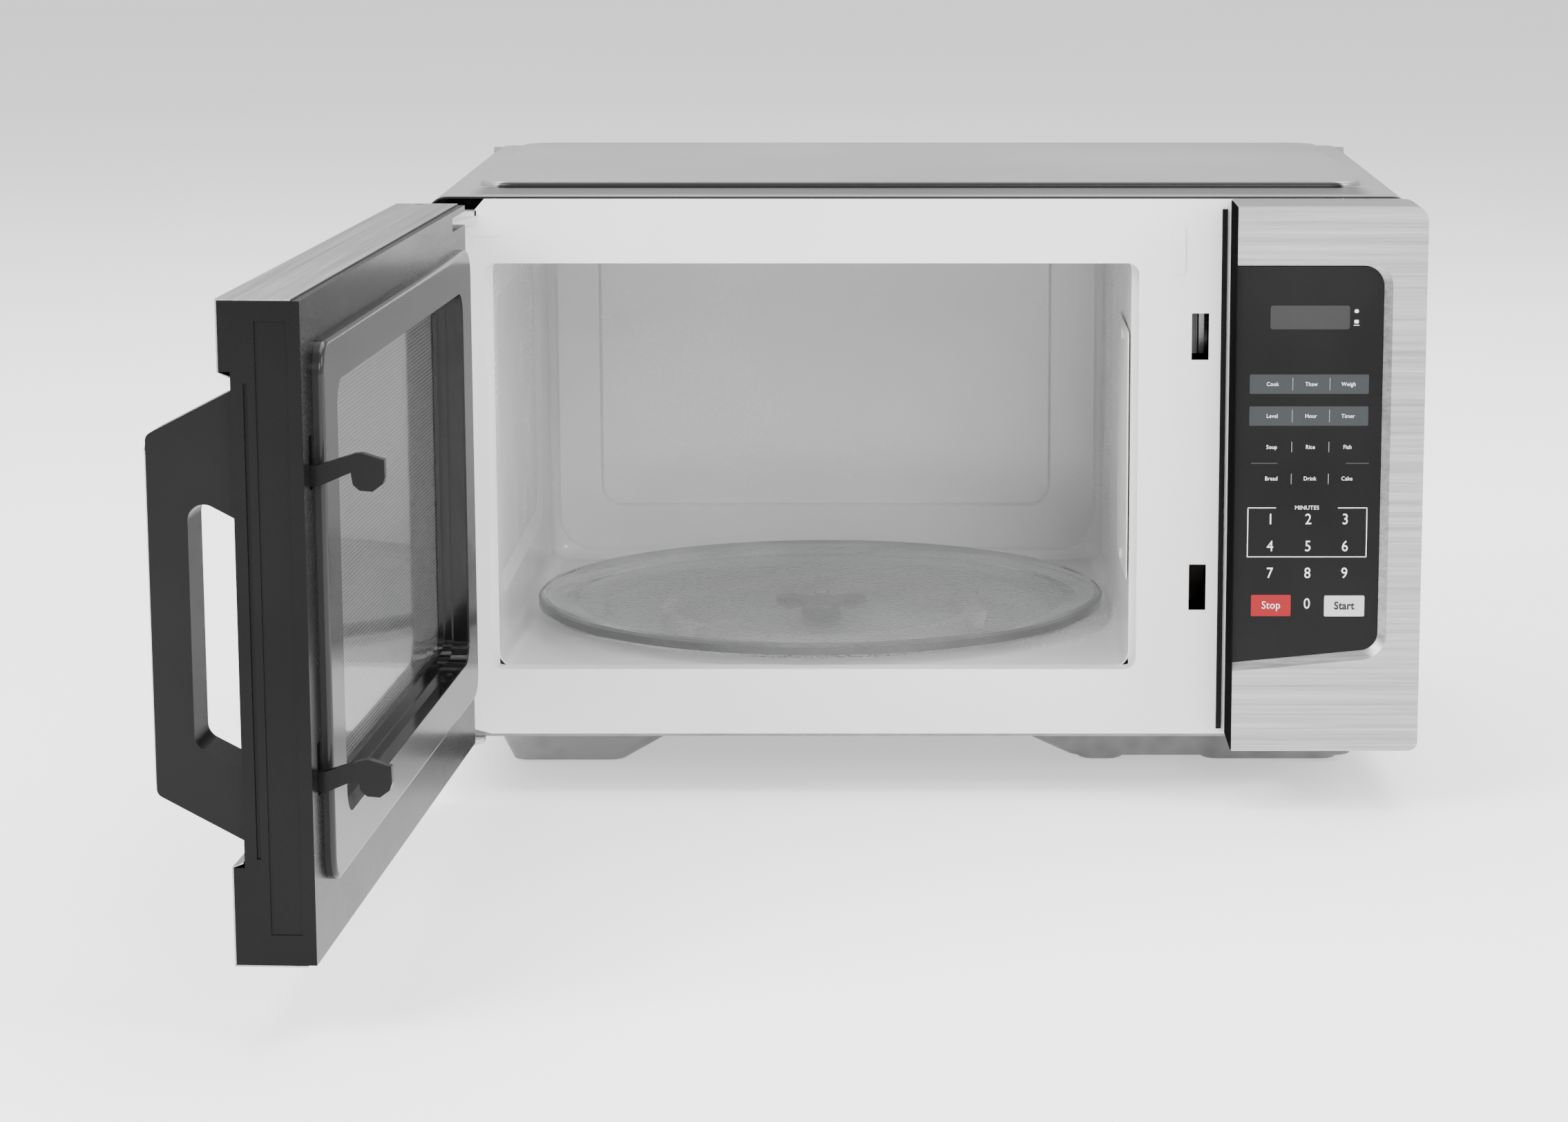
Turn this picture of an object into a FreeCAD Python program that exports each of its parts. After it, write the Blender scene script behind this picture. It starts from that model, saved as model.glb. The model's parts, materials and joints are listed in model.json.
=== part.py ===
import FreeCAD, Part
import math
import os
import re

from FreeCAD import Placement, Rotation, Vector

# A countertop microwave oven standing on z = 0, drawn with +y towards its rear
# and x = 0 in the middle of its width. Its door is modelled shut and then swung
# open about its hinge axis, which is how the oven is stored. On output all parts
# shift together, to put the origin under the middle of what the open oven covers.

os.makedirs("parts", exist_ok=True)
doc = FreeCAD.newDocument("microwave_oven")

# ---------------------------------------------------------------- dimensions
sheet = doc.addObject("Spreadsheet::Sheet", "dims")
DIMENSIONS = [
    ("oven_width", 521),        # over the control panel and the door
    ("front_height", 285.2),    # of the door and the control panel
    ("base_height", 32),        # underside of the front above the table
    ("face_y", -208),           # front face of the control panel and door bands
    ("frame_y", -167),          # face of the white front frame
    ("back_y", 172),            # rear edge of the wrapped case
    ("panel_left", 162.5),      # left edge of the control panel
    ("door_right", 161.5),      # free edge of the shut door
    ("opening_left", -227.6),
    ("opening_right", 115),
    ("opening_bottom", 67.1),
    ("opening_top", 283.6),
    ("cavity_left", -224.2),    # inner faces of the cavity
    ("cavity_right", 111.6),
    ("cavity_floor", 66),
    ("cavity_roof", 287),
    ("cavity_back", 171),
    ("sheet_gauge", 0.8),       # painted steel sheet
    ("case_width", 515),
    ("case_corner", 11),
    ("plate_x", -56.3),         # turntable axis
    ("plate_y", 3),
    ("plate_radius", 161),
    ("well_radius", 118),       # round depression that the roller ring runs in
    ("well_floor", 56),
    ("roller_radius", 6.2),
    ("ring_radius", 98),        # of the circle that the rollers run on
    ("hinge_x", -257),
    ("hinge_y", -195.5),
    ("door_swing", 93),         # stored opening angle, degrees
    ("glass_y", -202.5),        # front of the door's window glass
    ("border_y", -172.7),       # inner face of the door's plastic border
    ("seal_y", -168),           # face of the metal ring that meets the frame
    ("screen_y", -183.4),       # face of the perforated window screen
    ("hook_left", 144),
    ("hook_gauge", 4.5),
    ("hook_low", 105.2),        # underside of the lower latch hook's arm
    ("hook_pitch", 131.5),      # between the two hooks
    ("handle_left", 126),
    ("handle_width", 26),
    ("row_x", 32.2),            # from the case's middle to the middle of all that
    ("row_y", 210.8),           # the oven covers with its door open, the stored origin
]
for row, (alias, number) in enumerate(DIMENSIONS, start=1):
    sheet.set(f"A{row}", alias)
    sheet.set(f"B{row}", str(number))
    sheet.setAlias(f"B{row}", alias)
doc.recompute()
ALIAS_WORD = re.compile(r"\b(" + "|".join(alias for alias, number in DIMENSIONS) + r")\b")


def bound(expression):
    """Write a formula of aliases as an expression on the sheet."""
    return ALIAS_WORD.sub(r"dims.\1", str(expression))


def size(alias):
    """Read one driving dimension."""
    return float(sheet.get(alias))


# ---------------------------------------------------------- building helpers
nodes = {}


def box(label, x_low, x_high, y_low, y_high, z_low, z_high):
    """A block between two corners, all six values formulas on the sheet."""
    block = doc.addObject("Part::Box", "block")
    block.Label = label
    block.setExpression("Length", bound(f"({x_high}) - ({x_low})"))
    block.setExpression("Width", bound(f"({y_high}) - ({y_low})"))
    block.setExpression("Height", bound(f"({z_high}) - ({z_low})"))
    for axis, low in zip("xyz", (x_low, y_low, z_low)):
        block.setExpression(f".Placement.Base.{axis}", bound(low))
    return block


TURN = {"x": Rotation(Vector(0, 1, 0), 90), "y": Rotation(Vector(1, 0, 0), -90), "z": Rotation()}


def rod(label, axis, x_start, y_start, z_start, radius, length):
    """A round bar from its starting centre along +x, +y or +z."""
    bar = doc.addObject("Part::Cylinder", "bar")
    bar.Label = label
    bar.Placement.Rotation = TURN[axis]
    bar.setExpression("Radius", bound(radius))
    bar.setExpression("Height", bound(length))
    for name, start in zip("xyz", (x_start, y_start, z_start)):
        bar.setExpression(f".Placement.Base.{name}", bound(start))
    return bar


def fuse(label, *pieces):
    """Join pieces; separate ones stay separate solids of one node."""
    joined = doc.addObject("Part::MultiFuse", "fuse")
    joined.Label = label
    joined.Shapes = list(pieces)
    return joined


def cut(label, stock, *tools):
    """Take every tool away from the stock."""
    remainder = doc.addObject("Part::Cut", "cut")
    remainder.Label = label
    remainder.Base = stock
    remainder.Tool = tools[0] if len(tools) == 1 else fuse(label + "_tools", *tools)
    return remainder


def rounded(label, stock, axis, radius, keep=None):
    """Fillet the stock's straight edges along one axis that keep() accepts."""
    doc.recompute()
    picked = []
    for index, edge in enumerate(stock.Shape.Edges, start=1):
        if edge.Curve.TypeId != "Part::GeomLine":
            continue
        along = abs(edge.tangentAt(edge.FirstParameter).dot(axis)) > 0.999
        if along and (keep is None or keep(edge.CenterOfMass)):
            picked.append((index, radius, radius))
    fillet = doc.addObject("Part::Fillet", "fillet")
    fillet.Label = label
    fillet.Base = stock
    fillet.Edges = picked
    return fillet


def crowned(label, stock, z, radius):
    """Fillet every edge that lies at one height."""
    doc.recompute()
    fillet = doc.addObject("Part::Fillet", "fillet")
    fillet.Label = label
    fillet.Base = stock
    fillet.Edges = [(index, radius, radius) for index, edge in enumerate(stock.Shape.Edges, start=1)
                    if all(abs(vertex.Z - z) < 0.01 for vertex in edge.Vertexes)]
    return fillet


AXIS_X = Vector(1, 0, 0)
AXIS_Y = Vector(0, 1, 0)
AXIS_Z = Vector(0, 0, 1)


def own_shape(label, shape):
    """A sub-part whose surfaces are made from the sheet's values in code."""
    feature = doc.addObject("Part::Feature", "shaped")
    feature.Label = label
    feature.Shape = shape
    return feature


def keep_node(feature):
    """Enter a finished sub-part under its label."""
    nodes[feature.Label] = feature
    return feature


def outline(points):
    """A closed face in space through a ring of corner points."""
    return Part.Face(Part.makePolygon(list(points) + [points[0]]))


def plate_outline(x_low, x_high, z_low, z_high, radius, y):
    """A rounded rectangle wire in the x-z plane at depth y."""
    quarter = math.pi / 2
    centres = [(x_high - radius, z_high - radius, 0), (x_low + radius, z_high - radius, 1),
               (x_low + radius, z_low + radius, 2), (x_high - radius, z_low + radius, 3)]
    ring = []
    for x, z, turn in centres:
        arc = [Vector(x + radius * math.cos(turn * quarter + part * quarter / 2), y,
                      z + radius * math.sin(turn * quarter + part * quarter / 2)) for part in range(3)]
        ring.append(arc)
    edges = []
    for index, arc in enumerate(ring):
        edges.append(Part.Arc(*arc).toShape())
        edges.append(Part.makeLine(arc[2], ring[(index + 1) % 4][0]))
    return Part.Wire(edges)


def plate_shape(x_low, x_high, z_low, z_high, radius, y_low, y_high):
    """A rounded rectangular plate in the x-z plane."""
    face = Part.Face(plate_outline(x_low, x_high, z_low, z_high, radius, y_low))
    return face.extrude(Vector(0, y_high - y_low, 0))


def pan_outline(x_low, x_high, y_low, y_high, radius, z):
    """A rounded rectangle wire in the x-y plane at height z."""
    wire = plate_outline(x_low, x_high, y_low, y_high, radius, 0)
    wire.rotate(Vector(), AXIS_X, -90)
    wire.translate(Vector(0, 0, z))
    return wire


FRONT_TOP = "base_height + front_height"

# ------------------------------------------------------------- wrapped case
# One sheet bent over the top and both sides, with rounded shoulders, a raised
# rectangle pressed in its top, and rows of cooling slots in its sides.
case_outer = rounded("case_outer", box("case_stock", "-case_width / 2", "case_width / 2", "frame_y + 1.2",
                     "back_y", "base_height - 2", FRONT_TOP + " + 1"), AXIS_Y, size("case_corner"),
                     lambda centre: centre.z > 200)
field_block = rounded("field_block", box("raised_stock", -236, 237, -112, "back_y - 14",
                      FRONT_TOP + " - 4", FRONT_TOP + " + 4"), AXIS_Z, 18)
raised_field = crowned("raised_field", field_block, size("base_height") + size("front_height") + 4, 2.2)
case_inner = rounded("case_inner", box("case_space", "-case_width / 2 + sheet_gauge",
                     "case_width / 2 - sheet_gauge", "frame_y", "back_y + 1", 0, FRONT_TOP + " + 1 - sheet_gauge"),
                     AXIS_Y, size("case_corner") - size("sheet_gauge"), lambda centre: centre.z > 200)
field_hollow = rounded("field_hollow", box("field_stock", -234.6, 235.6, -110.6, "back_y - 15.4",
                       FRONT_TOP + " - 6", FRONT_TOP + " + 4 - sheet_gauge"), AXIS_Z, 17)
field_space = crowned("field_space", field_hollow,
                      size("base_height") + size("front_height") + 4 - size("sheet_gauge"), 1.6)
case_slots = []
for side, reach in (("-case_width / 2 - 3", 6), ("case_width / 2 - 3", 6)):
    for row in range(3):
        for column in range(9):
            slot_y = 30 + column * 12
            slot_z = 66 + row * 34
            case_slots.append(box("cooling_slot", side, f"{side} + {reach}", slot_y, slot_y + 4,
                                  slot_z, slot_z + 26))
keep_node(cut("outer_cabinet", fuse("case_body", case_outer, raised_field), case_inner, field_space, *case_slots))

# -------------------------------------------------------------- base pan
# Pressed steel bottom. Broad bulges reach down to the rubber pads and a
# shallow lip turns up inside the case all round.


def bulge(span, top, depth, slope, grow=0.0):
    """A pressed bulge that narrows downwards, its two ends at their own slopes."""
    x_low, x_high, y_low, y_high = span
    upper = pan_outline(x_low + grow, x_high - grow, y_low + grow, y_high - grow, 14 - grow, top)
    lower = pan_outline(x_low + slope[0] + grow, x_high - slope[1] - grow, y_low + slope[2] + grow,
                        y_high - slope[2] - grow, 9 - grow, depth)
    return Part.makeLoft([upper, lower], True, True)


def base_pan():
    """Join the flat bottom, its lip and the hollow bulges."""
    gauge = size("sheet_gauge")
    top = size("base_height") - 1
    half = size("case_width") / 2 - 1.4
    front = size("frame_y") + 2
    back = size("back_y") - 1
    flat = Part.makeBox(2 * half, back - front, gauge, Vector(-half, front, top - gauge))
    rim = Part.makeBox(2 * half, back - front, 9, Vector(-half, front, top - gauge))
    inside = Part.makeBox(2 * half - 2 * gauge, back - front - 2 * gauge, 12,
                          Vector(-half + gauge, front + gauge, top - 1 - gauge))
    body = flat.fuse(rim.cut(inside))
    bulges = [((-238, -112, -107, -42), top - 0.3, 1.5, (14, 50, 9)),
              ((26, 252, -107, -42), top - 0.3, 4.2, (56, 14, 9)),
              ((146, 240, -99, -50), 9, 1.5, (10, 10, 4)),
              ((82, 118, -99, -50), 9, 1.5, (6, 6, 4)),
              ((-238, -112, 92, 157), top - 0.3, 1.5, (14, 50, 9)),
              ((140, 250, 92, 157), top - 0.3, 1.5, (26, 14, 9))]
    for span, start, depth, slope in bulges:
        body = body.fuse(bulge(span, start, depth, slope))
    for span, start, depth, slope in bulges:
        hollow_top = start + 1.5 if start > 20 else start - 3
        body = body.cut(bulge(span, hollow_top, depth + gauge, slope, gauge))
    return body


keep_node(own_shape("base_pan", base_pan()))

PAD_SPOTS = [(-204, -76), (196, -76), (-204, 126), (200, 126)]
pads = [rod("foot_pad", "z", x, y, 0, 9, 1.5) for x, y in PAD_SPOTS]
keep_node(fuse("rubber_feet", *pads))

# -------------------------------------------------------------- rear panel
# Flat back with a pressed field that clears the cavity, two pressed spacers
# that hold the oven off the wall, air slots and the hole for the cord gland.
rear_plate = box("rear_plate", "-case_width / 2 + 1.2", "case_width / 2 - 1.2", "back_y + 0.2", "back_y + 1.2",
                 "base_height", FRONT_TOP)
rear_field = rounded("rear_field", box("rear_field_stock", "cavity_left - 4", "cavity_right + 4", "back_y + 0.2",
                     "back_y + 10", "cavity_floor - 4", "cavity_roof + 4"), AXIS_Y, 14)
rear_hollow = rounded("rear_hollow", box("rear_hollow_stock", "cavity_left - 3", "cavity_right + 3", "back_y - 1",
                      "back_y + 9", "cavity_floor - 3", "cavity_roof + 3"), AXIS_Y, 13)
rear_slots = [box("air_slot", 134 + column * 11, 138 + column * 11, "back_y - 2", "back_y + 3", low, low + 30)
              for column in range(10) for low in (186, 224)]
gland_hole = rod("gland_hole", "y", 226, "back_y - 2", 62, 8, 6)
keep_node(cut("rear_panel", fuse("rear_body", rear_plate, rear_field), rear_hollow, gland_hole, *rear_slots))

spacer_spots = [(-180, 270), (70, 270)]
spacers = [rounded("spacer", box("spacer_stock", x - 13, x + 13, "back_y + 10", "back_y + 21", z - 10, z + 10),
                   AXIS_Y, 6) for x, z in spacer_spots]
keep_node(fuse("rear_spacers", *spacers))

gland = fuse("gland_body", rod("gland_flange", "y", 226, "back_y + 1.2", 62, 11, 3),
             rod("gland_neck", "y", 226, "back_y - 6", 62, 7.9, 7.2),
             rod("gland_sleeve", "y", 226, "back_y + 4.2", 62, 6.5, 12))
keep_node(cut("cord_gland", gland, rod("gland_bore", "y", 226, "back_y - 7", 62, 3.8, 26)))

# -------------------------------------------------------------- front frame
# White painted plate round the oven's mouth, with the mouth's edge turned in,
# two latch slots, two pressed ribs and a bay behind the control panel.


def front_frame():
    """Cut the mouth and slots, and press the ribs."""
    gauge = size("sheet_gauge")
    face = size("frame_y")
    low = size("base_height")
    high = low + size("front_height")
    left = -size("case_width") / 2 + 0.5
    plate = plate_shape(left, size("case_width") / 2 - 1, low, high, 4, face, face + gauge)
    mouth = (size("opening_left"), size("opening_right"), size("opening_bottom"), size("opening_top"))
    flange = plate_shape(mouth[0] - gauge, mouth[1] + gauge, mouth[2] - gauge, mouth[3] + gauge, 6.8,
                         face + 0.1, face + 12)
    frame = plate.fuse(flange).cut(plate_shape(*mouth, 6, face - 1, face + 13))
    lip = plate_shape(mouth[0] + 0.01, mouth[1] - 0.01, mouth[2] + 0.01, mouth[3] - 0.01, 6, face - 1, face + 1)
    frame = frame.cut(lip)
    for slot_low in (232.7, 99.1):
        frame = frame.cut(Part.makeBox(9, 6, 24.6, Vector(142.7, face - 3, slot_low)))
    bay = (178, 248, 60, 290)
    frame = frame.cut(plate_shape(*bay, 6, face - 1, face + 3))
    notch = outline([Vector(left - 1, face - 1, high + 1), Vector(-226, face - 1, high + 1),
                     Vector(-233, face - 1, high - 7), Vector(left - 1, face - 1, high - 7)])
    frame = frame.cut(notch.extrude(Vector(0, 3, 0)))
    foot = outline([Vector(left - 1, face - 1, low - 1), Vector(-224, face - 1, low - 1),
                    Vector(-238, face - 1, low + 2.6), Vector(left - 1, face - 1, low + 2.6)])
    frame = frame.cut(foot.extrude(Vector(0, 3, 0)))
    frame = frame.cut(Part.makeBox(20, 3, 2.9, Vector(-251, face - 1, 308.3)))
    for x, z, wide, tall in ((135, 290.4, 8, 25), (-228, 300.4, 17, 5.4)):
        rib = plate_shape(x - wide / 2, x + wide / 2, z - tall / 2, z + tall / 2, 2.4, face - 0.7, face + 0.2)
        frame = frame.fuse(rib)
    return frame.removeSplitter()


keep_node(own_shape("front_frame", front_frame()))

# ------------------------------------------------------------ cavity liner
# Pressed steel cooking space: rounded corners, a stepped field in its back
# wall, a pressed field in its left wall, air holes, the well for the roller
# ring with the motor's hole, the lamp's holes and the wave guide's mouth.


def cavity_liner():
    """A shell made as outer form minus inner form, then pierced."""
    gauge = size("sheet_gauge")
    left, right = size("cavity_left"), size("cavity_right")
    floor, roof = size("cavity_floor"), size("cavity_roof")
    front, back = size("frame_y") + 12.1, size("cavity_back")
    centre = Vector(size("plate_x"), size("plate_y"), 0)

    def form(grow):
        space = Part.makeBox(right - left + 2 * grow, back - front + grow + 1, roof - floor + 2 * grow,
                             Vector(left - grow, front - 1, floor - grow))
        soft = [edge for edge in space.Edges
                if edge.CenterOfMass.y > front + 5]
        space = space.makeFillet(9 + grow, soft)
        field = Part.makeLoft([plate_outline(left + 3 - grow, right - 3 + grow, floor + 4 - grow,
                                             roof - 6 + grow, 22, back - 2),
                               plate_outline(left + 5 - grow, right - 5 + grow, floor + 6 - grow,
                                             roof - 8 + grow, 20, back + 2 + grow)], True, True)
        inner = Part.makeLoft([plate_outline(-196 - grow, 82 + grow, 96 - grow, 272 + grow, 15, back - 2),
                               plate_outline(-193 - grow, 79 + grow, 99 - grow, 269 + grow, 12,
                                             back + 6 + grow)], True, True)
        side = Part.makeLoft([plate_outline(-140, 110, 100, 262, 20, 0),
                              plate_outline(-132, 102, 108, 254, 14, 3 + grow)], True, True)
        side.rotate(Vector(), AXIS_Z, 90)
        side.translate(Vector(left + 0.01, 0, 0))
        well = Part.makeCone(size("well_radius") + 6, size("well_radius") - 2,
                             floor - size("well_floor") + grow + 0.5, centre + Vector(0, 0, floor + 0.5),
                             Vector(0, 0, -1))
        if grow:
            well = Part.makeCone(size("well_radius") + 7, size("well_radius") - 1,
                                 floor - size("well_floor") + grow, centre + Vector(0, 0, floor), Vector(0, 0, -1))
        return space.fuse([field, inner, side, well])

    shell = form(gauge).cut(form(0.0))
    shell = shell.cut(Part.makeBox(600, 60, 400, Vector(-300, front - 60, 0)))
    rim = plate_shape(left - 6, right + 6, floor - 1, roof + 1, 8, front, front + gauge)
    shell = shell.fuse(rim.cut(Part.makeBox(right - left, 10, roof - floor, Vector(left, front - 5, floor))))
    holes = [Part.makeCylinder(7, 20, centre + Vector(0, 0, 45))]
    for rows, columns, y_start, z_start in ((7, 6, -150, 206), (5, 4, -148, 264), (5, 5, -20, 264)):
        for row in range(rows):
            for column in range(columns):
                spot = Vector(left - 8, y_start + column * 7, z_start + row * 4.6 - (row % 2) * 0.5)
                holes.append(Part.makeCylinder(1.5, 14, spot, AXIS_X))
    for row in range(4):
        for column in range(4):
            spot = Vector(right - 6, 40 + column * 7, 240 + row * 7)
            holes.append(Part.makeCylinder(1.6, 14, spot, AXIS_X))
    holes.append(Part.makeBox(14, 70, 90, Vector(right - 6, -137, 138)))
    return shell.cut(Part.makeCompound(holes))


keep_node(own_shape("cavity_liner", cavity_liner()))

# Mica sheet over the wave guide's mouth.
mica = rounded("mica_stock", box("mica_box", "cavity_right - 1.5", "cavity_right - 0.7", -150, -55, 112, 245),
               AXIS_X, 4)
mica_clips = [rod("mica_clip", "x", "cavity_right - 2.6", -102, z, 3, 1.1) for z in (118, 239)]
keep_node(fuse("waveguide_cover", mica, *mica_clips))

# --------------------------------------------------------------- turntable
AXIS_SPOT = Vector(size("plate_x"), size("plate_y"), 0)

motor_can = fuse("motor_can", rod("motor_body", "z", "plate_x", "plate_y", 34, 25, 20.6),
                 box("motor_ears", "plate_x - 33", "plate_x + 33", "plate_y - 5", "plate_y + 5", 53.2, 54.6))
keep_node(cut("turntable_motor", motor_can, rod("motor_bore", "z", "plate_x", "plate_y", 44, 3.4, 12)))

keep_node(rod("motor_shaft", "z", "plate_x", "plate_y", 46, 3, 15))


def spun(profile):
    """Turn a ring of (radius, z) corners about the turntable axis."""
    face = outline([Vector(radius, 0, z) for radius, z in profile])
    solid = face.revolve(Vector(), AXIS_Z, 360)
    solid.translate(AXIS_SPOT)
    return solid


def turntable_coupler():
    """Three broad lobes on a hub that sits on the motor shaft."""
    coupler = Part.makeCylinder(11, 10, Vector(0, 0, 57))
    for lobe in range(3):
        arm = Part.makeBox(22, 14, 5, Vector(0, -7, 63.6))
        arm = arm.fuse(Part.makeCylinder(7, 5, Vector(22, 0, 63.6)))
        arm.rotate(Vector(), AXIS_Z, 30 + 120 * lobe)
        coupler = coupler.fuse(arm)
    coupler = coupler.cut(Part.makeCylinder(3.02, 10, Vector(0, 0, 51.1)))
    coupler.translate(AXIS_SPOT)
    return coupler.removeSplitter()


keep_node(own_shape("turntable_coupler", turntable_coupler()))

# Glass plate: a thick turned dish with a raised rounded rim and three lugs
# below that sit between the coupler's lobes.


def glass_turntable():
    """Turn the dish and add its lugs."""
    rim = size("plate_radius")
    under = size("well_floor") + 13.3
    dish = spun([(0, under), (rim - 13, under), (rim - 2, under + 1.6), (rim, under + 3.4), (rim, under + 7.6),
                 (rim - 1.6, under + 9), (rim - 4.4, under + 9.4), (rim - 8, under + 8.2),
                 (rim - 22, under + 5), (0, under + 5)])
    for lug in range(3):
        spot = AXIS_SPOT + Rotation(AXIS_Z, 90 + 120 * lug).multVec(Vector(19, 0, 0))
        dish = dish.fuse(Part.makeCylinder(4, 4, spot + Vector(0, 0, under - 3.6)))
    return dish


keep_node(own_shape("glass_turntable", glass_turntable()))

ROLLER_TURNS = [100 + 120 * place for place in range(3)]


def roller_ring():
    """A flat ring with three spokes out to headed stub axles."""
    radius = size("ring_radius")
    axle_z = size("well_floor") + 0.3 + size("roller_radius")
    ring = spun([(radius - 14, axle_z - 2.5), (radius - 7, axle_z - 2.5), (radius - 7, axle_z + 2.5),
                 (radius - 14, axle_z + 2.5)])
    for turn in ROLLER_TURNS:
        outward = Rotation(AXIS_Z, turn).multVec(AXIS_X)
        spot = AXIS_SPOT + Vector(0, 0, axle_z)
        ring = ring.fuse(Part.makeCylinder(1.5, 15, spot + outward * (radius - 9), outward))
        ring = ring.fuse(Part.makeCylinder(2.5, 1.5, spot + outward * (radius + 4.3), outward))
        ring = ring.fuse(Part.makeCylinder(3.2, 4, spot + outward * (radius - 8.4), outward))
    return ring


keep_node(own_shape("roller_ring", roller_ring()))


def roller(turn):
    """A bored wheel whose axis points away from the turntable axis."""
    outward = Rotation(AXIS_Z, turn).multVec(AXIS_X)
    spot = AXIS_SPOT + Vector(0, 0, size("well_floor") + 0.3 + size("roller_radius"))
    start = spot + outward * (size("ring_radius") - 4)
    wheel = Part.makeCylinder(size("roller_radius"), 8, start, outward)
    wheel = wheel.makeFillet(0.9, [edge for edge in wheel.Edges if edge.Curve.TypeId == "Part::GeomCircle"])
    return wheel.cut(Part.makeCylinder(1.57, 12, start - outward * 2, outward))


for number, turn in enumerate(ROLLER_TURNS, start=1):
    keep_node(own_shape(f"roller_{number}", roller(turn)))

# ------------------------------------------------------------- power parts
# Wave guide on the cavity's right wall, with the magnetron on its outside.
guide = cut("guide_shell", box("guide_outer", "cavity_right + 0.9", 148, -132, -58, 134, 262),
            box("guide_inner", "cavity_right", 147.2, -131.2, -58.8, 134.8, 261.2))
keep_node(cut("waveguide", guide, rod("antenna_hole", "x", 146, -96, 236, 9.5, 4)))

yoke = cut("yoke", box("yoke_outer", 149.2, 236, -126, -66, 200, 272),
           box("yoke_space", 152, 233, -127, -65, 204, 268))
fins = [box("fin", 158 + step * 7, 159.2 + step * 7, -122, -70, 206, 266) for step in range(9)]
magnetron_core = rod("magnetron_tube", "x", 152, -96, 236, 19, 81)
keep_node(fuse("magnetron", yoke, magnetron_core, rod("antenna", "x", 130, -96, 236, 8, 22.5),
               box("filter_box", 236, 252, -118, -74, 214, 258), *fins))

core = cut("core", box("core_block", 138, 232, -104, -40, 38, 112),
           box("core_window_left", 152, 172, -105, -39, 50, 100),
           box("core_window_right", 198, 218, -105, -39, 50, 100))
keep_node(fuse("hv_transformer", core, rounded("primary_coil", box("primary_stock", 155, 215, -116, -28, 52, 74),
                                              AXIS_Z, 12),
               rounded("secondary_coil", box("secondary_stock", 153, 217, -118, -26, 77, 98), AXIS_Z, 13),
               box("core_foot", 130, 240, -90, -54, 35, 38)))

can = rounded("capacitor_can", box("capacitor_stock", 146, 236, 0, 52, 38, 72), AXIS_X, 15)
terminals = [rod("terminal", "x", 236, y, 55, 3, 9) for y in (18, 34)]
keep_node(fuse("hv_capacitor", can, *terminals))
keep_node(fuse("hv_diode", rod("diode_body", "y", 196, 60, 46, 3.2, 20), rod("diode_lead", "y", 196, 53, 46, 0.8, 50),
               rod("diode_eye", "z", 196, 104, 45, 4.5, 2)))

# ----------------------------------------------------------------- cooling
FAN_SPOT = Vector(190, 0, 226)
shroud = cut("shroud", rounded("shroud_block", box("shroud_stock", 128, 252, 124, 156, 164, 288), AXIS_Y, 12),
             rod("shroud_bore", "y", FAN_SPOT.x, 120, FAN_SPOT.z, 54, 40))
spider = [box("spider_arm", 133, 247, 152, 155, FAN_SPOT.z - 4, FAN_SPOT.z + 4),
          box("spider_post", 186, 194, 152, 155, 170, 282)]
keep_node(cut("fan_shroud", fuse("shroud_frame", shroud, *spider),
              rod("spider_bore", "y", FAN_SPOT.x, 150, FAN_SPOT.z, 6, 8)))
keep_node(fuse("fan_motor", box("motor_stack", 168, 212, 155.2, 168, 204, 240),
               rod("motor_nose", "y", FAN_SPOT.x, 149, FAN_SPOT.z, 5.7, 6.4)))


def fan_blade():
    """A hub with five twisted paddles."""
    fan = Part.makeCylinder(14, 16, Vector(0, 130, 0), AXIS_Y)
    for blade in range(5):
        paddle = Part.makeBox(36, 22, 1.6, Vector(12, -11, -0.8))
        paddle = paddle.makeFillet(6, [edge for edge in paddle.Edges
                                       if edge.CenterOfMass.x > 40 and abs(edge.CenterOfMass.z) < 0.1])
        paddle.rotate(Vector(), AXIS_X, 35)
        paddle.translate(Vector(0, 138, 0))
        paddle.rotate(Vector(), AXIS_Y, 72 * blade)
        fan = fan.fuse(paddle)
    fan.translate(FAN_SPOT)
    return fan


keep_node(own_shape("fan_blade", fan_blade()))

# ------------------------------------------------- lamp, fuse board, cutouts
keep_node(fuse("cavity_lamp", rod("lamp_globe", "x", 117, 50, 251, 9, 20), rod("lamp_cap", "x", 137, 50, 251, 6, 8)))
keep_node(cut("lamp_holder", box("holder_block", 138, 156, 38, 62, 239, 263),
              rod("holder_bore", "x", 136, 50, 251, 6.2, 10)))
board_tops = [box("choke_coil", 160, 184, 74, 100, 298.6, 311), box("line_filter", 192, 214, 78, 96, 298.6, 309),
              rod("fuse_link", "x", 218, 88, 302.4, 3, 22)]
keep_node(fuse("noise_filter_board", box("filter_card", 150, 248, 66, 118, 297, 298.6), *board_tops))
keep_node(fuse("thermal_cutout", rod("cutout_can", "x", "cavity_right + 0.9", 10, 276, 8, 6),
               box("cutout_tabs", "cavity_right + 6.9", "cavity_right + 14", 6, 14, 272, 280)))

# --------------------------------------------------------- latch interlock
bracket_plate = box("bracket_plate", 153.6, 157, "frame_y + 1", -128, 88, 268)
shelves = [box("bracket_shelf", 141, 153.6, "frame_y + 1", -134, low, low + 2.6) for low in (95.8, 229.4)]
ears = [box("bracket_ear", 157, 172, "frame_y + 1", "frame_y + 3.4", low, low + 14) for low in (92, 170, 250)]
keep_node(fuse("latch_bracket", bracket_plate, *shelves, *ears))
switches = []
for low in (104, 196, 234):
    switches.append(box("switch_case", 157.2, 167.4, -160, -132, low, low + 16))
    switches.append(box("switch_button", 160.5, 164, -163, -160, low + 6, low + 9))
keep_node(fuse("interlock_switches", *switches))

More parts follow.
